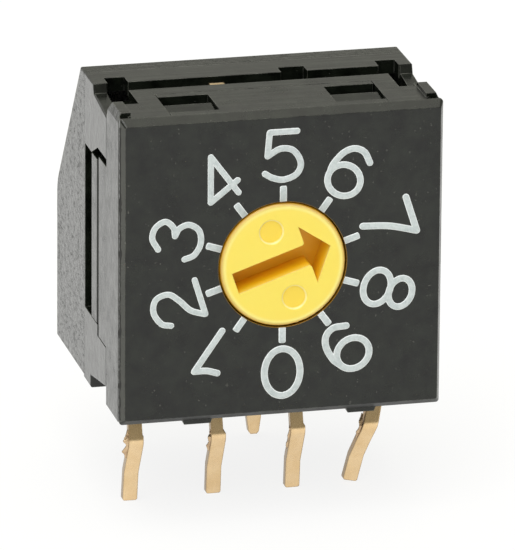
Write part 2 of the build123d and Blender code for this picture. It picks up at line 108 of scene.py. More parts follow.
def add_node(tree: Tree, kind: str, inputs: Inputs = (), **settings: object) -> bpy.types.Node:
    """Add a node with its settings, and fill or link its inputs.

    Args:
        tree: the node tree to add to.
        kind: the node's type name after ShaderNode.
        inputs: what each input is set to or linked from, by its name or number, or in order.
        settings: the node's own properties.

    Returns:
        The new node.
    """
    node = tree.nodes.new("ShaderNode" + kind)
    for name, value in settings.items():
        setattr(node, name, value)
    for key, value in inputs.items() if isinstance(inputs, dict) else enumerate(inputs):
        source = value.outputs[0] if isinstance(value, bpy.types.Node) else value
        if isinstance(source, bpy.types.NodeSocket):
            tree.links.new(source, node.inputs[key])
        else:
            node.inputs[key].default_value = source
    return node


def blank_material(name: str) -> tuple[Material, Tree]:
    """Make an empty node material.

    Args:
        name: the finish's plain name.

    Returns:
        The material and its cleared node tree.
    """
    material = bpy.data.materials.new(name)
    material.use_nodes = True
    material.node_tree.nodes.clear()
    return material, material.node_tree


def grains(place: Source, size_mm: float, detail: float = 3.0, layering: float = 0.6) -> Inputs:
    """Work out a random pattern's inputs from the real size of its largest grains."""
    return {"Vector": place, "Scale": 1 / (size_mm * MM), "Detail": detail, "Roughness": layering}


def from_axis(tree: Tree, place: Source) -> Source:
    """Measure how far the surface is from the rotor's axis.

    Args:
        tree: the material's node tree.
        place: the position.

    Returns:
        The distance in metres.
    """
    axis = (0.0, 0.0, AXIS_Z_MM * MM)
    middle = add_node(tree, "VectorMath", (place, axis), operation="SUBTRACT")
    flat = add_node(tree, "VectorMath", (middle, (1.0, 0.0, 1.0)), operation="MULTIPLY")
    return add_node(tree, "VectorMath", (flat,), operation="LENGTH").outputs["Value"]


def find_corners(tree: Tree, edge_mm: float, most: float = 1.0) -> tuple[Source, Source, Source]:
    """Round the solid's sharp edges and find where they are.

    Args:
        tree: the material's node tree.
        edge_mm: the radius of a rounded edge.
        most: the share of wear at the sharpest corners.

    Returns:
        The face's own normal, the rounded normal and the share of wear.
    """
    flat = add_node(tree, "NewGeometry").outputs["Normal"]
    rounded = add_node(tree, "Bevel", {"Radius": edge_mm * MM}, samples=BEVEL_SAMPLES)
    turn = add_node(tree, "VectorMath", (rounded, flat), operation="DOT_PRODUCT").outputs["Value"]
    wear = add_node(tree, "MapRange", (turn, CORNER_START, CORNER_FULL, 0.0, most))
    return flat, rounded, wear


@dataclass(frozen=True)
class Layer:
    """A colour that comes in as a value goes from one level to another."""

    value: Source
    start: float
    full: float
    code: str
    most: float = 1.0


def lay_colours(tree: Tree, base: str, layers: list[Layer]) -> Source:
    """Lay colours over each other.

    Args:
        tree: the material's node tree.
        base: the lowest colour's hex code.
        layers: the colours over it, from below.

    Returns:
        The colour.
    """
    colour: Colour | Source = linear(base)
    for layer in layers:
        share = add_node(tree, "MapRange", (layer.value, layer.start, layer.full, 0.0, layer.most))
        colour = add_node(
            tree, "Mix", {"Factor": share, 6: colour, 7: linear(layer.code)}, data_type="RGBA"
        ).outputs[2]
    return colour


def lay_relief(
    tree: Tree, normal: Source | None, layers: list[tuple[Source, float]]
) -> Source | None:
    """Raise patterns on a surface, one over the other.

    Args:
        tree: the material's node tree.
        normal: the smooth normal, or None for the mesh's own.
        layers: each pattern's height and rise in millimetres, which is negative for pits.

    Returns:
        The normal.
    """
    for height, rise_mm in layers:
        inputs = {"Height": height, "Distance": abs(rise_mm) * MM, "Strength": 1.0}
        if normal is not None:
            inputs["Normal"] = normal
        normal = add_node(tree, "Bump", inputs, invert=rise_mm < 0)
    return normal


def show_surface(tree: Tree, inputs: Inputs) -> None:
    """Make a surface with the given inputs what the material shows."""
    shader = add_node(tree, "BsdfPrincipled", inputs)
    add_node(tree, "OutputMaterial", (shader,))


@dataclass(frozen=True)
class MouldedPlastic:
    """Glass-filled polyester, injection moulded in a spark-eroded tool.

    The pitted tool gives a fine skin that shines at a flat angle and is duller underneath. The
    glass near the skin gives a faint mottle and flow lines, and the sharp moulded edges are worn a
    little paler. The cover's bevels get a paler painted sheen, and the wall of the dial's bore is
    painted with the yellow light it would catch from the dial.
    """

    name: str
    skin: str = "#090B08"
    mottle: str = "#1B1F19"
    # pale grey for worn sharp edges, also used for the painted sheen on the cover's bevels
    worn: str = "#83847C"
    dust: str = "#8D8D86"
    # painted light: the yellow that the dial would throw on the wall of its bore
    glow: str = "#96701C"
    ior: float = 1.5
    roughness: float = 0.2
    roughness_spread: float = 0.2
    patch_mm: float = 0.7
    patch_levels: Point = (0.3, 0.7)
    dull_below: float = 0.2
    layering: float = 0.65
    mottle_mm: float = 0.5
    mottle_levels: Point = (0.34, 0.66)
    # the glass fibres are 0.01 mm thick, too fine to show, so their grain is drawn coarser
    grain_mm: float = 0.05
    grain_height_mm: float = 0.005
    flow_mm: float = 0.28
    flow_height_mm: float = 0.011
    flow_stretch: Triple = (0.06, 1.0, 1.0)
    edge_mm: float = 0.035
    # the backward part of the normal of the bevels that get the painted sheen, and how far it may
    # differ
    bevel_lean: Point = (-0.463, 0.1)
    # how much of the pale painted sheen the bevels get
    painted_bevel_sheen: float = 0.0
    dust_mm: float = 0.11
    dust_levels: Point = (0.72, 0.82)
    dust_share: float = 0.2
    painted_glow_radius_mm: float = 0.0
    # how far past the bore's wall the painted light from the dial ends, and where it is full
    painted_glow_past_mm: Point = (0.012, 0.002)
    # the tool's real pits are 0.03 mm wide, too fine to show, so they are drawn coarser
    pit_mm: float = 0.125
    pit_height_mm: float = 0.0
    pit_stretch: Triple = (1.0, 0.45, 1.0)
    pit_levels: Point = (0.45, 0.68)
    pit_dullness: float = 0.28
    pit_share_ahead: float = 0.1
    parting_y_mm: float | None = None
    parting_fade_mm: float = 0.03
    parting_height_mm: float = 0.03
    groove_mm: Point = (0.005, 0.03)
    wobble_mm: float = 0.02
    wobble_length_mm: float = 0.5

    def build(self) -> Material:
        """Build the material's nodes.

        Returns:
            The new material.
        """
        material, tree = blank_material(self.name)
        place = add_node(tree, "TexCoord").outputs["Object"]
        flat, rounded, wear = find_corners(tree, self.edge_mm)
        pits = self.pits(tree, place) if self.pit_height_mm else None
        along = add_node(tree, "Mapping", {"Vector": place, "Scale": self.flow_stretch})
        flow = grains(along, self.flow_mm, 3.0, self.layering)
        grain = grains(place, self.grain_mm, 2.0, self.layering)
        relief = [
            (add_node(tree, "TexNoise", flow), self.flow_height_mm),
            (add_node(tree, "TexNoise", grain), self.grain_height_mm),
        ]
        if pits is not None:
            relief.append((pits, -self.pit_height_mm))
        if self.parting_y_mm is not None:
            relief.append((self.parting_line(tree, place), self.parting_height_mm))
        show_surface(
            tree,
            {
                "Base Color": self.colour(tree, place, flat, wear),
                "Roughness": self.dullness(tree, place, flat, pits),
                "IOR": self.ior,
                "Normal": lay_relief(tree, rounded, relief),
            },
        )
        return material

    def colour(self, tree: Tree, place: Source, flat: Source, wear: Source) -> Source:
        """Mix the skin's colours, with dust, paler edges, and painted bevel sheen and bore light.

        Args:
            tree: the material's node tree.
            place: the position.
            flat: the face's own normal.
            wear: the corners' share of wear.

        Returns:
            The colour.
        """
        patches = add_node(tree, "TexNoise", grains(place, self.mottle_mm, 4.0, self.layering))
        contrast = add_node(tree, "MapRange", (patches, *self.mottle_levels))
        specks = add_node(tree, "TexNoise", grains(place, self.dust_mm, 1.0, self.layering))
        ragged = add_node(tree, "Math", (wear, contrast), operation="MULTIPLY")
        # painted sheen: faces whose normal leans like the bevels' are made paler in the worn colour
        lean = add_node(tree, "SeparateXYZ", (flat,)).outputs["Y"]
        bevel = add_node(tree, "Math", (lean, *self.bevel_lean), operation="COMPARE")
        bevel_sheen_share = add_node(tree, "Math", (bevel, self.painted_bevel_sheen), operation="MULTIPLY")
        # the worn colour's share: worn sharp edges, and the painted sheen on the bevels
        worn = add_node(tree, "Math", (ragged, bevel_sheen_share), operation="MAXIMUM")
        layers = [
            Layer(contrast, 0.0, 1.0, self.mottle),
            Layer(specks, *self.dust_levels, self.dust, self.dust_share),
            Layer(worn, 0.0, 1.0, self.worn),
        ]
        # painted light: the bore's wall takes the dial's yellow as if lit by it
        if self.painted_glow_radius_mm:
            ends = [(self.painted_glow_radius_mm + past) * MM for past in self.painted_glow_past_mm]
            layers.append(Layer(from_axis(tree, place), *ends, self.glow))
        return lay_colours(tree, self.skin, layers)

    def dullness(self, tree: Tree, place: Source, flat: Source, pits: Source | None) -> Source:
        """Vary the roughness in patches, with duller pits and a duller underside.

        Args:
            tree: the material's node tree.
            place: the position.
            flat: the face's own normal.
            pits: the pits' pattern, or None for a part without them.

        Returns:
            The roughness.
        """
        patches = add_node(tree, "TexNoise", grains(place, self.patch_mm, 5.0, self.layering))
        half = self.roughness_spread / 2
        ends = (self.roughness - half, self.roughness + half)
        rough = add_node(tree, "MapRange", (patches, *self.patch_levels, *ends))
        upward = add_node(tree, "SeparateXYZ", (flat,)).outputs["Z"]
        more = [(upward, BELOW_START, BELOW_FULL, self.dull_below)]
        if pits is not None:
            more.insert(0, (pits, *self.pit_levels, self.pit_dullness))
        for value, start, full, most in more:
            added = add_node(tree, "MapRange", (value, start, full, 0.0, most))
            rough = add_node(tree, "Math", (rough, added), operation="ADD")
        return rough

    def pits(self, tree: Tree, place: Source) -> Source:
        """Draw the tool's coarse pits, faint ahead of the parting line and deep behind it.

        Args:
            tree: the material's node tree.
            place: the position.

        Returns:
            The pattern.
        """
        y = add_node(tree, "SeparateXYZ", (place,)).outputs["Y"]
        middle = self.parting_y_mm or 0.0
        fade = ((middle - self.parting_fade_mm) * MM, (middle + self.parting_fade_mm) * MM)
        behind = add_node(tree, "MapRange", (y, *fade, self.pit_share_ahead, 1.0))
        drawn = add_node(tree, "Mapping", {"Vector": place, "Scale": self.pit_stretch})
        pattern = add_node(tree, "TexNoise", grains(drawn, self.pit_mm, 3.0, self.layering))
        return add_node(tree, "Math", (pattern, behind), operation="MULTIPLY")

    def parting_line(self, tree: Tree, place: Source) -> Source:
        """Draw the fine, slightly wavy groove where two tool inserts met.

        Args:
            tree: the material's node tree.
            place: the position.

        Returns:
            The height, which is 0 in the groove.
        """
        waves = add_node(tree, "TexNoise", grains(place, self.wobble_length_mm, 2.0, self.layering))
        sway = self.wobble_mm * MM
        wobble = add_node(tree, "MapRange", (waves, 0.0, 1.0, -sway, sway))
        y = add_node(tree, "SeparateXYZ", (place,)).outputs["Y"]
        bent = add_node(tree, "Math", (y, wobble), operation="ADD")
        off = add_node(tree, "Math", (bent, self.parting_y_mm * MM), operation="SUBTRACT")
        away = add_node(tree, "Math", (off,), operation="ABSOLUTE")
        floor, brim = (reach * MM for reach in self.groove_mm)
        return add_node(tree, "MapRange", (away, floor, brim))


@dataclass(frozen=True)
class TranslucentDial:
    """Unfilled yellow polyamide, injection moulded and slightly see-through.

    Light that enters comes out again nearby, so the face glows. The sharp edges and a ring inside
    the rim get a painted highlight, and painted shade turns the sunk arrow from yellow at the face
    to burnt orange at its floor, and darkens the rim the same way.
    """

    name: str = "yellow_polyamide_moulded"
    face: str = "#FFE968"
    cloud: str = "#FFE45E"
    # the rim's burnt orange is painted shade; the ring's pale yellow is a painted highlight
    rim: str = "#CC9404"
    ring: str = "#FFEE8A"
    top_y_mm: float = DIAL_FACE_Y_MM - 0.04
    # behind the face: where each colour starts and is full, and its code; first a pale painted
    # highlight at the edges, then painted shade deepening towards the arrow's floor
    painted_highlight_and_shade_mm: tuple[tuple[float, float, str], ...] = (
        (0.008, 0.03, "#FFF0A8"),
        (0.045, 0.075, "#FFDE50"),
        (0.12, 0.35, "#FFD21C"),
        (0.4, 0.95, "#F2BC1C"),
    )
    # from the axis: where the pale ring of painted highlight, and then the rim's darker painted
    # shade, starts and is full
    painted_highlight_ring_mm: Point = (1.73, 1.80)
    rim_mm: Point = (1.82, 1.95)
    ior: float = 1.53
    roughness: float = 0.42
    cloud_mm: float = 0.9
    ripple_mm: float = 0.3
    ripple_height_mm: float = 0.006
    edge_mm: float = 0.03
    scatter_share: float = 0.1
    scatter_mm: float = 0.12
    scatter_colour: Triple = (1.0, 0.8, 0.2)

    def build(self) -> Material:
        """Build the material's nodes.

        Returns:
            The new material.
        """
        material, tree = blank_material(self.name)
        place = add_node(tree, "TexCoord").outputs["Object"]
        y = add_node(tree, "SeparateXYZ", (place,)).outputs["Y"]
        cloud, ripple = (
            add_node(tree, "TexNoise", grains(place, size_mm))
            for size_mm in (self.cloud_mm, self.ripple_mm)
        )
        radius = from_axis(tree, place)
        top = self.top_y_mm
        # painted highlight on the ring and just behind the face, and painted shade deeper in and on
        # the rim
        layers = [
            Layer(cloud, 0.0, 1.0, self.cloud),
            Layer(radius, self.painted_highlight_ring_mm[0] * MM, self.painted_highlight_ring_mm[1] * MM, self.ring),
            *[Layer(y, (top + a) * MM, (top + b) * MM, code) for a, b, code in self.painted_highlight_and_shade_mm],
            Layer(radius, self.rim_mm[0] * MM, self.rim_mm[1] * MM, self.rim),
        ]
        rounded = add_node(tree, "Bevel", {"Radius": self.edge_mm * MM}, samples=BEVEL_SAMPLES)
        show_surface(
            tree,
            {
                "Base Color": lay_colours(tree, self.face, layers),
                "Roughness": self.roughness,
                "IOR": self.ior,
                "Normal": lay_relief(tree, rounded, [(ripple, self.ripple_height_mm)]),
                "Subsurface Weight": self.scatter_share,
                "Subsurface Radius": self.scatter_colour,
                "Subsurface Scale": self.scatter_mm * MM,
            },
        )
        return material


@dataclass(frozen=True)
class GiltStrip:
    """Phosphor bronze strip, rolled, stamped and plated with thin gold.

    Rolling leaves faint streaks along the strip, stamping leaves torn, browner cut faces, and the
    thin plating is pale and satin rather than mirror bright.
    """

    name: str = "gilt_bronze_stamped"
    gold: str = "#FADBAC"
    dull: str = "#F0CE9B"
    torn: str = "#7E6A52"
    roughness: float = 0.22
    roughness_reach: Point = (-0.05, 0.1)
    # the rolling streaks are about 0.01 mm wide, too fine to show, so they are drawn coarser
    streak_mm: float = 0.07
    streak_height_mm: float = 0.001
    streak_stretch: Triple = (1.0, 1.0, 0.12)
    streak_levels: Point = (0.3, 0.7)
    patch_mm: float = 0.5
    patch_levels: Point = (0.4, 0.75)
    edge_mm: float = 0.07
    edge_share: float = 0.45
    # the sideways part of a cut face's normal
    cut_levels: Point = (0.6, 0.9)
    cut_share: float = 0.75

    def build(self) -> Material:
        """Build the material's nodes.

        Returns:
            The new material.
        """
        material, tree = blank_material(self.name)
        place = add_node(tree, "TexCoord").outputs["Object"]
        stretched = add_node(tree, "Mapping", {"Vector": place, "Scale": self.streak_stretch})
        streaks, patches = (
            add_node(tree, "TexNoise", grains(where, size_mm))
            for where, size_mm in ((stretched, self.streak_mm), (place, self.patch_mm))
        )
        flat, rounded, wear = find_corners(tree, self.edge_mm, self.edge_share)
        across = add_node(tree, "SeparateXYZ", (flat,)).outputs["X"]
        sideways = add_node(tree, "Math", (across,), operation="ABSOLUTE")
        cut = add_node(tree, "MapRange", (sideways, *self.cut_levels, 0.0, self.cut_share))
        worn = add_node(tree, "Math", (wear, cut), operation="MAXIMUM")
        layers = [Layer(patches, *self.patch_levels, self.dull), Layer(worn, 0.0, 1.0, self.torn)]
        ends = [self.roughness + reach for reach in self.roughness_reach]
        rough = add_node(tree, "MapRange", (streaks, *self.streak_levels, *ends))
        show_surface(
            tree,
            {
                "Base Color": lay_colours(tree, self.gold, layers),
                "Metallic": 1.0,
                "Roughness": rough,
                "Normal": lay_relief(tree, rounded, [(streaks, self.streak_height_mm)]),
            },
        )
        return material


@dataclass(frozen=True)
class SatinFinish:
    """A plain finish with a fine grain, for rubber, resin, bare metal and torn plastic.

    Each keeps the look of how it was made: moulded rubber is dark and dull, poured resin is
    glossier, rolled steel has a directional grain, and a torn edge of plastic is rough.
    """

    name: str
    colour: str
    shade: str
    roughness: float
    metallic: float = 0.0
    ior: float = 1.5
    roughness_spread: float = 0.12
    # the real grain is about 0.01 mm, too fine to show, so it is drawn coarser
    grain_mm: float = 0.06
    grain_height_mm: float = 0.003
    patch_mm: float = 0.35
    patch_levels: Point = (0.35, 0.7)
    stretch: Triple = (1.0, 1.0, 1.0)

    def build(self) -> Material:
        """Build the material's nodes.

        Returns:
            The new material.
        """
        material, tree = blank_material(self.name)
        place = add_node(tree, "TexCoord").outputs["Object"]
        stretched = add_node(tree, "Mapping", {"Vector": place, "Scale": self.stretch})
        grain, patches = (
            add_node(tree, "TexNoise", grains(where, size_mm))
            for where, size_mm in ((stretched, self.grain_mm), (place, self.patch_mm))
        )
        half = self.roughness_spread / 2
        ends = (self.roughness - half, self.roughness + half)
        rough = add_node(tree, "MapRange", (grain, 0.0, 1.0, *ends))
        layers = [Layer(patches, *self.patch_levels, self.shade)]
        show_surface(
            tree,
            {
                "Base Color": lay_colours(tree, self.colour, layers),
                "Metallic": self.metallic,
                "Roughness": rough,
                "IOR": self.ior,
                "Normal": lay_relief(tree, None, [(grain, self.grain_height_mm)]),
            },
        )
        return material


@dataclass(frozen=True)
class PrintedInk:
    """White two-part ink, pad printed and baked.

    The wet film drew back to its borders and dried thickest there, so each stroke is a little
    uneven and grey in its middle and whiter along its edges.
    """

    name: str = "white_ink_pad_printed"
    middle: str = "#D0D8DC"
    thin: str = "#BCC6CA"
    border: str = "#F2F7FB"
    ior: float = 1.5
    roughness: float = 0.5
    top_y_mm: float = DIAL_FACE_Y_MM - INK_MM
    border_mm: float = 0.008
    # the pigment is finer than 0.001 mm, too fine to show, so its clumps are drawn coarser
    grain_mm: float = 0.12
    grain_height_mm: float = 0.006
    grain_levels: Point = (0.42, 0.68)

    def build(self) -> Material:
        """Build the material's nodes.

        Returns:
            The new material.
        """
        material, tree = blank_material(self.name)
        place = add_node(tree, "TexCoord").outputs["Object"]
        clumps = grains(place, self.grain_mm, 4.0, 0.65)
        grain = add_node(tree, "TexNoise", clumps)
        depth = add_node(tree, "SeparateXYZ", (place,)).outputs["Y"]
        top, shoulder = self.top_y_mm * MM, (self.top_y_mm + self.border_mm) * MM
        layers = [
            Layer(grain, *self.grain_levels, self.thin),
            Layer(depth, top, shoulder, self.border),
        ]
        show_surface(
            tree,
            {
                "Base Color": lay_colours(tree, self.middle, layers),
                "Roughness": self.roughness,
                "IOR": self.ior,
                "Normal": lay_relief(tree, None, [(grain, self.grain_height_mm)]),
            },
        )
        return material


# the cover gets painted light from the dial on its bore's wall, and a painted sheen on its bevels
COVER_PLASTIC = MouldedPlastic(
    "black_polyester_cover", roughness=0.22, dust_share=0.25, painted_glow_radius_mm=2.0, painted_bevel_sheen=0.19
)
HOUSING_PLASTIC = MouldedPlastic("black_polyester_housing")
GUARD_PLASTIC = MouldedPlastic(
    "black_polyester_guard_spark_eroded", roughness=0.11, pit_height_mm=0.018, parting_y_mm=0.4
)
BASE_PLASTIC = MouldedPlastic("black_polyester_contact_base")
DIAL_YELLOW = TranslucentDial()
GILT = GiltStrip()
TORN_EDGE = GiltStrip(
    "torn_bronze_edge", gold="#F0D2A8", dull="#C0A080", torn="#3A2C22", roughness=0.3, edge_mm=0.03
)
WHITE_INK = PrintedInk()
SEAL_RUBBER = SatinFinish("black_nitrile_rubber_moulded", "#1A1A1A", "#222222", 0.62)
SPRING_STEEL = SatinFinish(
    "stainless_spring_strip_rolled",
    "#BFC0BE",
    "#A9AAA8",
    roughness=0.3,
    metallic=1.0,
    stretch=(1.0, 1.0, 0.1),
)
POTTING = SatinFinish("dark_epoxy_poured", "#1C1C20", "#26262A", 0.24, grain_mm=0.4)
FLASH = SatinFinish("black_polyester_flash_torn", "#121210", "#22221F", 0.55, grain_height_mm=0.006)

Finish = MouldedPlastic | TranslucentDial | GiltStrip | SatinFinish


@dataclass
class MouldedParts:
    """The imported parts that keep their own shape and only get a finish."""

    finishes: dict[str, Finish] = field(
        default_factory=lambda: {
            "front_cover": COVER_PLASTIC,
            "housing": HOUSING_PLASTIC,
            "terminal_guard": GUARD_PLASTIC,
            "contact_base": BASE_PLASTIC,
            "rotor": DIAL_YELLOW,
            "code_disc": GILT,
            "o_ring": SEAL_RUBBER,
            "click_spring_left": SPRING_STEEL,
            "click_spring_right": SPRING_STEEL,
            "base_potting": POTTING,
            "terminal_1": GILT,
            "terminal_2": GILT,
            "terminal_4": GILT,
            "terminal_8": GILT,
            "terminal_common": GILT,
        }
    )

    def dress(self, nodes: dict[str, Piece]) -> None:
        """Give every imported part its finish.

        Args:
            nodes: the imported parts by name.
        """
        built: dict[str, Material] = {}
        for name, finish in self.finishes.items():
            if finish.name not in built:
                built[finish.name] = finish.build()
            mesh = nodes[name].data
            mesh.materials.clear()
            mesh.materials.append(built[finish.name])
            LOG.info("finished %s in %s", name, finish.name)


def new_object(name: str, bm: BMesh, finish: Material) -> Piece:
    """Turn a drawn mesh into an object of the scene.

    Args:
        name: the object's name.
        bm: the mesh in metres, which is freed.
        finish: its material.

    Returns:
        The new object.
    """
    mesh = bpy.data.meshes.new(name)
    bm.to_mesh(mesh)
    bm.free()
    mesh.materials.append(finish)
    obj = bpy.data.objects.new(name, mesh)
    bpy.context.scene.collection.objects.link(obj)
    return obj


def join_rows(bm: BMesh, rows: list[list[Corner]]) -> None:
    """Join rows of corners into a strip that is closed all round.

    Args:
        bm: the mesh to add to.
        rows: the corners of each cross-section, in order.
    """
    count = len(rows[0])
    for one, two in zip(rows, rows[1:]):
        for i in range(count):
            bm.faces.new((one[i], one[(i + 1) % count], two[(i + 1) % count], two[i]))
    bm.faces.new(rows[0])
    bm.faces.new(list(reversed(rows[-1])))
    bmesh.ops.recalc_face_normals(bm, faces=bm.faces)


def smooth_path(points: list[Point], closed: bool, steps: int = 10) -> list[Vector]:
    """Draw a smooth curve through points, as a uniform Catmull-Rom spline.

    Args:
        points: the points the curve passes through.
        closed: whether the curve returns to its start.
        steps: how many pieces each span is divided into.

    Returns:
        The points of the smooth curve.
    """
    count = len(points)
    if closed:
        ring = [Vector(points[(i - 1) % count]) for i in range(count + 3)]
    else:
        inner = [Vector(p) for p in points]
        ring = [2 * inner[0] - inner[1], *inner, 2 * inner[-1] - inner[-2]]
    path: list[Vector] = []
    for a, b, c, d in zip(ring, ring[1:], ring[2:], ring[3:]):
        for step in range(steps):
            t = step / steps
            path.append(
                0.5
                * (
                    2 * b
                    + (c - a) * t
                    + (2 * a - 5 * b + 4 * c - d) * t * t
                    + (3 * b - a - 3 * c + d) * t * t * t
                )
            )
    if not closed:
        path.append(Vector(points[-1]))
    return path


@dataclass(frozen=True)
class Stroke:
    """One stroke of a numeral, in millimetres from the numeral's middle."""

    points: tuple[Point, ...]
    curved: bool = False
    closed: bool = False

    def path(self) -> list[Vector]:
        """Find the stroke's middle line.

        Returns:
            The points of the middle line.
        """
        if self.curved or self.closed:
            return smooth_path(list(self.points), self.closed)
        return [Vector(point) for point in self.points]


def line(start: Point, end: Point) -> Stroke:
    """A straight stroke between two points."""
    return Stroke((start, end))


def curve(*points: Point) -> Stroke:
    """A smooth open stroke through points."""
    return Stroke(points, curved=True)


def oval(middle: Point, across: float, up: float, count: int = 12) -> Stroke:
    """Draw a closed oval stroke.

    Args:
        middle: the oval's middle.
        across: half its width.
        up: half its height.
        count: how many points it passes through.

    Returns:
        The stroke.
    """
    turns = [math.tau * i / count for i in range(count)]
    points = tuple((middle[0] + across * math.cos(t), middle[1] + up * math.sin(t)) for t in turns)
    return Stroke(points, closed=True)


NUMERALS: dict[int, tuple[Stroke, ...]] = {
    0: (oval((-0.01, -0.005), 0.557, 0.75),),
    1: (
        line((0.35, -0.745), (0.315, 0.765)),
        curve((0.315, 0.765), (0.01, 0.545), (-0.32, 0.425)),
    ),
    2: (
        curve(
            (-0.55, 0.365), (-0.38, 0.625), (0.05, 0.745), (0.41, 0.555),
            (0.43, 0.145), (0.11, -0.115), (-0.31, -0.345), (-0.59, -0.72),
        ),
        line((-0.59, -0.735), (0.56, -0.755)),
    ),
    3: (
        curve(
            (-0.48, 0.465), (-0.2, 0.745), (0.16, 0.755), (0.41, 0.52),
            (0.3, 0.225), (0.05, 0.09),
        ),
        curve(
            (0.05, 0.09), (0.32, 0.025), (0.5, -0.235), (0.39, -0.585),
            (0.02, -0.755), (-0.37, -0.675), (-0.58, -0.425),
        ),
    ),
    4: (
        line((0.27, 0.755), (0.28, -0.695)),
        line((-0.57, -0.405), (0.485, -0.36)),
        line((0.27, 0.755), (-0.57, -0.405)),
    ),
    5: (
        line((-0.43, 0.765), (0.41, 0.765)),
        line((-0.44, 0.755), (-0.5, 0.025)),
        curve(
            (-0.5, 0.025), (-0.1, 0.235), (0.3, 0.155), (0.53, -0.245),
            (0.4, -0.595), (0.0, -0.745), (-0.35, -0.665), (-0.58, -0.525),
        ),
    ),
    6: (
        oval((0.02, -0.28), 0.53, 0.48),
        curve(
            (-0.51, -0.3), (-0.57, -0.025), (-0.51, 0.415), (-0.3, 0.705),
            (0.03, 0.775), (0.375, 0.595),
        ),
    ),
    7: (
        line((-0.61, 0.765), (0.53, 0.765)),
        curve((0.53, 0.765), (0.07, 0.005), (-0.23, -0.765)),
    ),
    8: (
        oval((-0.03, -0.355), 0.55, 0.42),
        oval((-0.04, 0.41), 0.46, 0.36),
    ),
    9: (
        oval((-0.035, 0.28), 0.52, 0.48),
        curve(
            (0.5, 0.3), (0.56, 0.025), (0.5, -0.415), (0.3, -0.705),
            (-0.03, -0.775), (-0.385, -0.575),
        ),
    ),
}

# the printed width of each numeral's strokes
STROKE_WIDTHS_MM = (0.218, 0.208, 0.19, 0.19, 0.19, 0.196, 0.206, 0.214, 0.208, 0.216)


@dataclass(frozen=True)
class Bead:
    """A bead of ink to lay on the face, with its path in millimetres."""

    path: list[Vector]
    half_mm: float
    ends: tuple[End, End]
    closed: bool = False
    # how much higher it stands, so that crossing beads stay apart
    lift_mm: float = 0.0


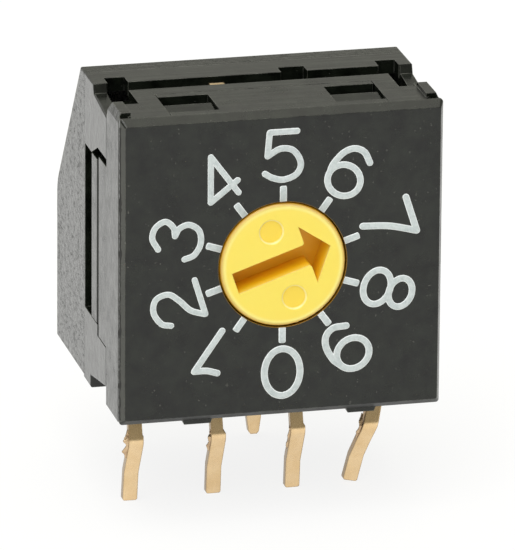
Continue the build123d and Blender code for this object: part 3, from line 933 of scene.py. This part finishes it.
@dataclass
class DialMarks:
    """The printed scale on the cover: ten numerals and ten ticks, each a low bead of ink."""

    positions: int = 10
    first_turn_deg: float = -90.0
    numeral_radius_mm: float = 3.445
    ink_mm: float = INK_MM
    sunk_mm: float = 0.012
    crossing_lift_mm: float = 0.0015
    tick_inner_mm: float = 2.01
    tick_outer_mm: float = 2.44
    tick_width_mm: float = 0.22
    cap_steps: int = 8
    # how far an end that isn't round reaches out, as a share of the bead's half width
    blunt_reach: float = 0.6
    # half of a bead's section from its border to its middle: shares of the half width and height
    section: tuple[Point, ...] = (
        (1.0, -1.0), (1.0, 0.25), (0.95, 0.5), (0.85, 0.72), (0.68, 1.0), (0.0, 1.0),
    )

    def away(self, position: int) -> Vector:
        """Find the direction from the axis to a dial position, in the plane of the face."""
        turn = math.radians(self.first_turn_deg - 360 / self.positions * position)
        return Vector((math.cos(turn), math.sin(turn)))

    def lay(self, bm: BMesh, bead: Bead) -> None:
        """Lay a bead of ink with rounded shoulders along its path.

        Args:
            bm: the mesh to add to, with x and y in the face and z away from it.
            bead: the bead.
        """
        profile = [*self.section, *[(-s, h) for s, h in reversed(self.section[:-1])]]
        path, count = bead.path, len(bead.path)
        rings = []
        for i, point in enumerate(path):
            before = path[(i - 1) % count] if bead.closed or i else path[i]
            after = path[(i + 1) % count] if bead.closed or i < count - 1 else path[i]
            along = (after - before).normalized()
            across = Vector((-along.y, along.x))
            rings.append(
                [
                    self.raised(bm, point + across * s * bead.half_mm, h, bead.lift_mm)
                    for s, h in profile
                ]
            )
        pairs = list(zip(rings, rings[1:]))
        if bead.closed:
            pairs.append((rings[-1], rings[0]))
        for one, two in pairs:
            for i in range(len(profile) - 1):
                bm.faces.new((one[i], one[i + 1], two[i + 1], two[i]))
        if bead.closed:
            return
        for point, other, ring, end in (
            (path[0], path[1], rings[0], bead.ends[0]),
            (path[-1], path[-2], rings[-1], bead.ends[1]),
        ):
            self.cap(bm, bead, point, (point - other).normalized(), ring, end)

    def cap(
        self, bm: BMesh, bead: Bead, point: Vector, outward: Vector, ring: list[Corner], end: End
    ) -> None:
        """Close one end of a bead.

        Args:
            bm: the mesh to add to.
            bead: the bead.
            point: the end of its middle line.
            outward: the direction out of the end.
            ring: the bead's last row of vertices.
            end: the end's shape.
        """
        if end is End.CUT:
            bm.faces.new(ring)
            return
        across = Vector((-outward.y, outward.x))
        first = (ring[0].co.to_2d() - point).dot(across) > 0
        side = ring if first else list(reversed(ring))
        middle = len(self.section) - 1
        rows = [side[: middle + 1]]
        power = end.value
        reach = 1.0 if end is End.ROUND else self.blunt_reach
        for step in range(1, self.cap_steps):
            turn = math.pi * step / self.cap_steps
            c, s = math.cos(turn), math.sin(turn)
            way = across * math.copysign(abs(c) ** power, c) + outward * (s**power) * reach
            row = [
                self.raised(bm, point + way * k * bead.half_mm, h, bead.lift_mm)
                for k, h in self.section[:-1]
            ]
            rows.append([*row, side[middle]])
        rows.append(list(reversed(side))[: middle + 1])
        for one, two in zip(rows, rows[1:]):
            for i in range(middle):
                # corners that fall together at the bead's middle leave a triangle
                corners = list(dict.fromkeys((one[i], one[i + 1], two[i + 1], two[i])))
                if len(corners) > 2:
                    bm.faces.new(corners)

    def raised(self, bm: BMesh, at: Vector, share: float, lift_mm: float) -> Corner:
        """Add one vertex of a bead at a share of the ink's height, or below the face."""
        height = share * self.ink_mm + lift_mm if share > 0 else -self.sunk_mm
        return bm.verts.new((at.x, at.y, height))

    def piece(self, name: str, bm: BMesh, away: Vector, radius_mm: float, ink: Material) -> None:
        """Stand a drawn mark on the dial's face and let it ride on the case.

        Args:
            name: the piece's name.
            bm: the mark, with y pointing away from the axis, which is freed.
            away: the direction from the axis to the mark.
            radius_mm: the distance from the axis to the mark's middle.
            ink: the ink's material.
        """
        bmesh.ops.recalc_face_normals(bm, faces=bm.faces)
        rows = (
            (away.y, away.x, 0.0, away.x * radius_mm),
            (0.0, 0.0, -1.0, DIAL_FACE_Y_MM),
            (-away.x, away.y, 0.0, AXIS_Z_MM + away.y * radius_mm),
            (0.0, 0.0, 0.0, 1.0),
        )
        bm.transform(Matrix.Scale(MM, 4) @ Matrix(rows))
        obj = new_object(name, bm, ink)
        for polygon in obj.data.polygons:
            polygon.use_smooth = True
        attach(obj, Body.CASE.value)

    def build(self) -> None:
        """Build and place the numerals and the ticks."""
        ink = WHITE_INK.build()
        for value, strokes in NUMERALS.items():
            bm = bmesh.new()
            half = STROKE_WIDTHS_MM[value] / 2
            for order, stroke in enumerate(strokes):
                lift = self.crossing_lift_mm * order
                ends = (End.ROUND, End.ROUND)
                self.lay(bm, Bead(stroke.path(), half, ends, stroke.closed, lift))
            self.piece(f"numeral_{value}", bm, self.away(value), self.numeral_radius_mm, ink)
            LOG.info("printed numeral %d", value)
        middle = (self.tick_inner_mm + self.tick_outer_mm) / 2
        path = [Vector((0.0, end - middle)) for end in (self.tick_inner_mm, self.tick_outer_mm)]
        tick = Bead(path, self.tick_width_mm / 2, (End.CUT, End.SQUARISH))
        for position in range(self.positions):
            bm = bmesh.new()
            self.lay(bm, tick)
            self.piece(f"tick_{position}", bm, self.away(position), middle, ink)
        LOG.info("printed %d ticks", self.positions)


@dataclass(frozen=True)
class Burr:
    """Where one terminal's burr runs, with heights from the rotor's axis."""

    terminal_mm: float
    top_mm: float
    bottom_mm: float
    reach_mm: float
    # how far the terminal is bent sideways, at the burr's top and at its bottom
    shift_mm: Point


@dataclass
class TornEdges:
    """Ragged burrs that the stamping die left on the front terminals' left edges."""

    burrs: tuple[Burr, ...] = (
        Burr(-3.81, -6.07, -7.1, 0.15, (-0.05, -0.05)),
        Burr(-1.27, -6.22, -7.05, 0.1, (0.01, 0.01)),
        Burr(1.27, -6.28, -7.2, 0.055, (-0.02, -0.02)),
        Burr(3.81, -6.1, -7.0, 0.07, (-0.26, -0.4)),
    )
    half_width_mm: float = 0.23
    # the depth and height of a front terminal's middle line, from its bends
    path_mm: tuple[Point, ...] = ((3.345, -5.3), (2.985, -6.45), (3.625, -7.6), (3.745, -8.57))
    thickness_mm: float = 0.16
    thinning: Point = (0.7, 1.0)
    root_mm: float = 0.03
    # the two corners of the torn edge: shares of its reach and of its half thickness
    torn_corners: tuple[Point, Point] = ((1.0, -0.35), (0.9, 0.5))
    # how steeply a burr grows from its ends, and the level, swing and jitter of its reach
    growth: float = 7.0
    level: float = 0.7
    swing: float = 0.3
    jitter: float = 0.12
    waves: float = 2.6
    rows: int = 26
    seed: int = 11

    def build(self) -> None:
        """Build one burr for each front terminal."""
        chance = random.Random(self.seed)
        finish = TORN_EDGE.build()
        for number, burr in enumerate(self.burrs, start=1):
            bm = bmesh.new()
            start = chance.random()
            rows = [self.row(bm, burr, i / self.rows, start, chance) for i in range(self.rows + 1)]
            join_rows(bm, rows)
            place = Matrix.Translation((0.0, DIAL_FACE_Y_MM, AXIS_Z_MM))
            bm.transform(Matrix.Scale(MM, 4) @ place)
            obj = new_object(f"terminal_burr_{number}", bm, finish)
            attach(obj, Body.CASE.value)
        LOG.info("left burrs on %d terminals", len(self.burrs))

    def row(
        self, bm: BMesh, burr: Burr, share: float, start: float, chance: random.Random
    ) -> list[Corner]:
        """Add one cross-section of a burr.

        Args:
            bm: the mesh to add to.
            burr: the burr.
            share: how far down the burr the cross-section is.
            start: where the burr's wave starts, in turns.
            chance: the source of chance.

        Returns:
            The cross-section's four corners.
        """
        height = burr.top_mm + (burr.bottom_mm - burr.top_mm) * share
        forward = self.forward(height)
        envelope = min(1.0, self.growth * share, self.growth * (1 - share))
        wave = self.level + self.swing * math.sin(math.tau * (self.waves * share + start))
        reach = burr.reach_mm * envelope * (wave + chance.uniform(-self.jitter, self.jitter))
        upper, lower = burr.shift_mm
        edge = burr.terminal_mm - self.half_width_mm + upper + (lower - upper) * share
        half = self.thickness_mm / 2 * chance.uniform(*self.thinning)
        places = [(edge - reach * out, forward + half * side) for out, side in self.torn_corners]
        places.insert(0, (edge + self.root_mm, forward - half))
        places.append((edge + self.root_mm, forward + half))
        return [bm.verts.new((x, y, height)) for x, y in places]

    def forward(self, height: float) -> float:
        """Find the depth of a front terminal's middle line at a height.

        Args:
            height: millimetres above the rotor's axis, so negative.

        Returns:
            Millimetres behind the dial face.
        """
        for (depth, upper), (other, lower) in zip(self.path_mm, self.path_mm[1:]):
            if height >= lower:
                share = min(1.0, (height - upper) / (lower - upper))
                return depth + (other - depth) * share
        return self.path_mm[-1][0]


@dataclass
class CoverFlash:
    """Thin ragged flash, squeezed out along the cover's left edge where the tool halves met."""

    # the bevel's section, as x and y, at the cover's rim and at its face
    rim_mm: Point = (-5.0, -4.47)
    face_mm: Point = (-4.88, -4.7)
    # where it starts and ends, above the frame's origin
    bottom_mm: float = 0.32
    top_mm: float = 9.6
    width_mm: float = 0.045
    spread_mm: float = 0.035
    thinnest_mm: float = 0.008
    # how much of the last row's width the next row keeps
    memory: float = 0.5
    # the nicks' heights above the origin, half a nick's height and how much wider it is there
    nicks_mm: tuple[float, ...] = (7.25, 6.95, 5.6, 3.1, 1.4)
    nick_half_mm: float = 0.14
    nick_reach_mm: float = 0.05
    # how far the flash reaches back past the rim, and how much farther at a nick
    back_mm: Point = (-0.02, 0.004)
    nick_back_mm: Point = (0.01, 0.05)
    step_mm: float = 0.05
    lift_mm: float = 0.006
    sunk_mm: float = 0.012
    seed: int = 5

    def build(self) -> None:
        """Build the flash as one ragged strip on the cover's bevel."""
        chance = random.Random(self.seed)
        rim, face = Vector(self.rim_mm), Vector(self.face_mm)
        along = (face - rim).normalized()
        out = Vector((along.y, -along.x))
        count = round((self.top_mm - self.bottom_mm) / self.step_mm)
        bm = bmesh.new()
        rows = []
        width = self.width_mm
        for i in range(count + 1):
            height = self.bottom_mm + (self.top_mm - self.bottom_mm) * i / count
            near = max(0.0, *(1 - abs(height - nick) / self.nick_half_mm for nick in self.nicks_mm))
            spread = chance.uniform(-1.0, 1.0) * self.spread_mm
            aim = self.width_mm + spread + near * self.nick_reach_mm
            width = max(self.thinnest_mm, self.memory * width + (1 - self.memory) * aim)
            back = chance.uniform(*self.back_mm) - near * chance.uniform(*self.nick_back_mm)
            ring = []
            for reach, lift in (
                (back, -self.sunk_mm),
                (back, self.lift_mm),
                (width, self.lift_mm),
                (width, -self.sunk_mm),
            ):
                at = rim + along * reach + out * lift
                ring.append(bm.verts.new((at.x, at.y, height)))
            rows.append(ring)
        join_rows(bm, rows)
        bm.transform(Matrix.Scale(MM, 4))
        obj = new_object("cover_flash", bm, FLASH.build())
        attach(obj, Body.CASE.value)
        LOG.info("left flash along the cover's left edge")


@dataclass
class Studio:
    """The pale table, the soft light and the camera."""

    floor_mm: float = -3.6
    floor_reach_mm: float = 1500.0
    floor_colour: str = "#FAFAF8"
    floor_roughness: float = 0.5
    floor_white: float = 0.85
    floor_white_in_gloss: float = 0.72
    sky_behind: float = 0.48
    sky_in_front: float = 0.3
    sky_overhead: float = 1.3
    sky_colour: str = "#FFFEF1"
    # the backward parts of the directions in which the sky is darkest and brightest, and the
    # upward parts of those in which the light overhead starts and is full
    sky_turn: Point = (-0.9, 0.3)
    overhead_turn: Point = (0.78, 0.94)
    key_strength: float = 1.55
    key_softness_deg: float = 45.0
    key_from: Triple = (-0.3, -0.7, 1.0)
    back_strength: float = 0.3
    back_softness_deg: float = 50.0
    back_from: Triple = (-0.45, 0.9, 0.85)
    yaw_deg: float = 13.788
    elevation_deg: float = 18.624
    roll_deg: float = 0.457
    distance_mm: float = 249.999
    focal_px: float = 8282.923
    sensor_mm: float = 36.0
    clip_m: Point = (0.01, 20.0)
    aim_mm: Triple = (-0.783, DIAL_FACE_Y_MM, AXIS_Z_MM - 0.275)
    frame_px: tuple[int, int] = (515, 550)

    def build(self) -> None:
        """Set up the table, the lights, the background and the camera."""
        self.table()
        self.lamp("key_softbox", self.key_from, self.key_strength, self.key_softness_deg)
        self.lamp("back_softbox", self.back_from, self.back_strength, self.back_softness_deg)
        self.background()
        self.camera()
        bpy.context.scene.view_settings.view_transform = "Standard"
        LOG.info("set up the studio")

    def table(self) -> None:
        """Lay the pale table top under the terminal tips."""
        bm = bmesh.new()
        bmesh.ops.create_grid(bm, x_segments=1, y_segments=1, size=self.floor_reach_mm * MM)
        bm.transform(Matrix.Translation((0.0, 0.0, self.floor_mm * MM)))
        obj = new_object("table_top", bm, self.paper())

    def paper(self) -> Material:
        """Make white paper that looks nearly white to the eye and in gloss, with a soft shadow.

        Returns:
            The new material.
        """
        material, tree = blank_material("matt_white_paper")
        path = add_node(tree, "LightPath")
        lift: float | Source = 0.0
        for ray, white in (
            ("Is Camera Ray", self.floor_white),
            ("Is Glossy Ray", self.floor_white_in_gloss),
            ("Is Transmission Ray", self.floor_white_in_gloss),
        ):
            share = add_node(tree, "Math", (path.outputs[ray], white), operation="MULTIPLY")
            lift = add_node(tree, "Math", (lift, share), operation="MAXIMUM")
        matt = add_node(
            tree,
            "BsdfDiffuse",
            {"Color": linear(self.floor_colour), "Roughness": self.floor_roughness},
        )
        glow = add_node(tree, "Emission", {"Strength": 1.0})
        mixed = add_node(tree, "MixShader", (lift, matt, glow))
        add_node(tree, "OutputMaterial", (mixed,))
        return material

    def lamp(self, name: str, source: Triple, strength: float, softness_deg: float) -> None:
        """Hang a large distant softbox.

        Args:
            name: the lamp's name.
            source: the direction it shines from.
            strength: its light on a surface that faces it.
            softness_deg: how wide it looks from the object.
        """
        light = bpy.data.lights.new(name, "SUN")
        light.energy = strength
        light.angle = math.radians(softness_deg)
        obj = bpy.data.objects.new(name, light)
        obj.rotation_euler = Vector(source).to_track_quat("Z", "Y").to_euler()
        bpy.context.scene.collection.objects.link(obj)

    def background(self) -> None:
        """Light softly from all round and from overhead, with the camera's side a little darker."""
        world = bpy.data.worlds.new("white_studio")
        bpy.context.scene.world = world
        world.use_nodes = True
        tree = world.node_tree
        tree.nodes.clear()
        way = add_node(tree, "TexCoord").outputs["Generated"]
        parts = add_node(tree, "SeparateXYZ", (way,)).outputs
        ends = (self.sky_in_front, self.sky_behind)
        room = add_node(tree, "MapRange", (parts["Y"], *self.sky_turn, *ends))
        above = (parts["Z"], *self.overhead_turn, 0.0, self.sky_overhead)
        overhead = add_node(tree, "MapRange", above)
        strength = add_node(tree, "Math", (room, overhead), operation="ADD")
        light = add_node(tree, "Background", (linear(self.sky_colour), strength))
        add_node(tree, "OutputWorld", (light,))

    def camera(self) -> None:
        """Set the camera at the photograph's angle."""
        yaw, rise, roll = (
            math.radians(angle) for angle in (self.yaw_deg, self.elevation_deg, self.roll_deg)
        )
        back = Vector(
            (-math.sin(yaw) * math.cos(rise), -math.cos(yaw) * math.cos(rise), math.sin(rise))
        )
        level = (-back).cross(Vector((0.0, 0.0, 1.0))).normalized()
        upright = level.cross(-back)
        right = level * math.cos(roll) + upright * math.sin(roll)
        up = upright * math.cos(roll) - level * math.sin(roll)
        lens = bpy.data.cameras.new("camera")
        lens.sensor_width = self.sensor_mm
        lens.lens = self.focal_px / max(self.frame_px) * lens.sensor_width
        lens.clip_start, lens.clip_end = self.clip_m
        obj = bpy.data.objects.new("camera", lens)
        turn = Matrix((right, up, back)).transposed().to_4x4()
        spot = Vector(self.aim_mm) * MM + back * self.distance_mm * MM
        obj.matrix_world = Matrix.Translation(spot) @ turn
        bpy.context.scene.collection.objects.link(obj)
        bpy.context.scene.camera = obj


def main() -> None:
    """Build the scene in order and report each piece."""
    logging.basicConfig(level=logging.INFO, format="%(name)s: %(message)s")
    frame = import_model()
    Studio().build()
    MouldedParts().dress(frame["nodes"])
    DialMarks().build()
    TornEdges().build()
    CoverFlash().build()


if __name__ == "__main__":
    main()
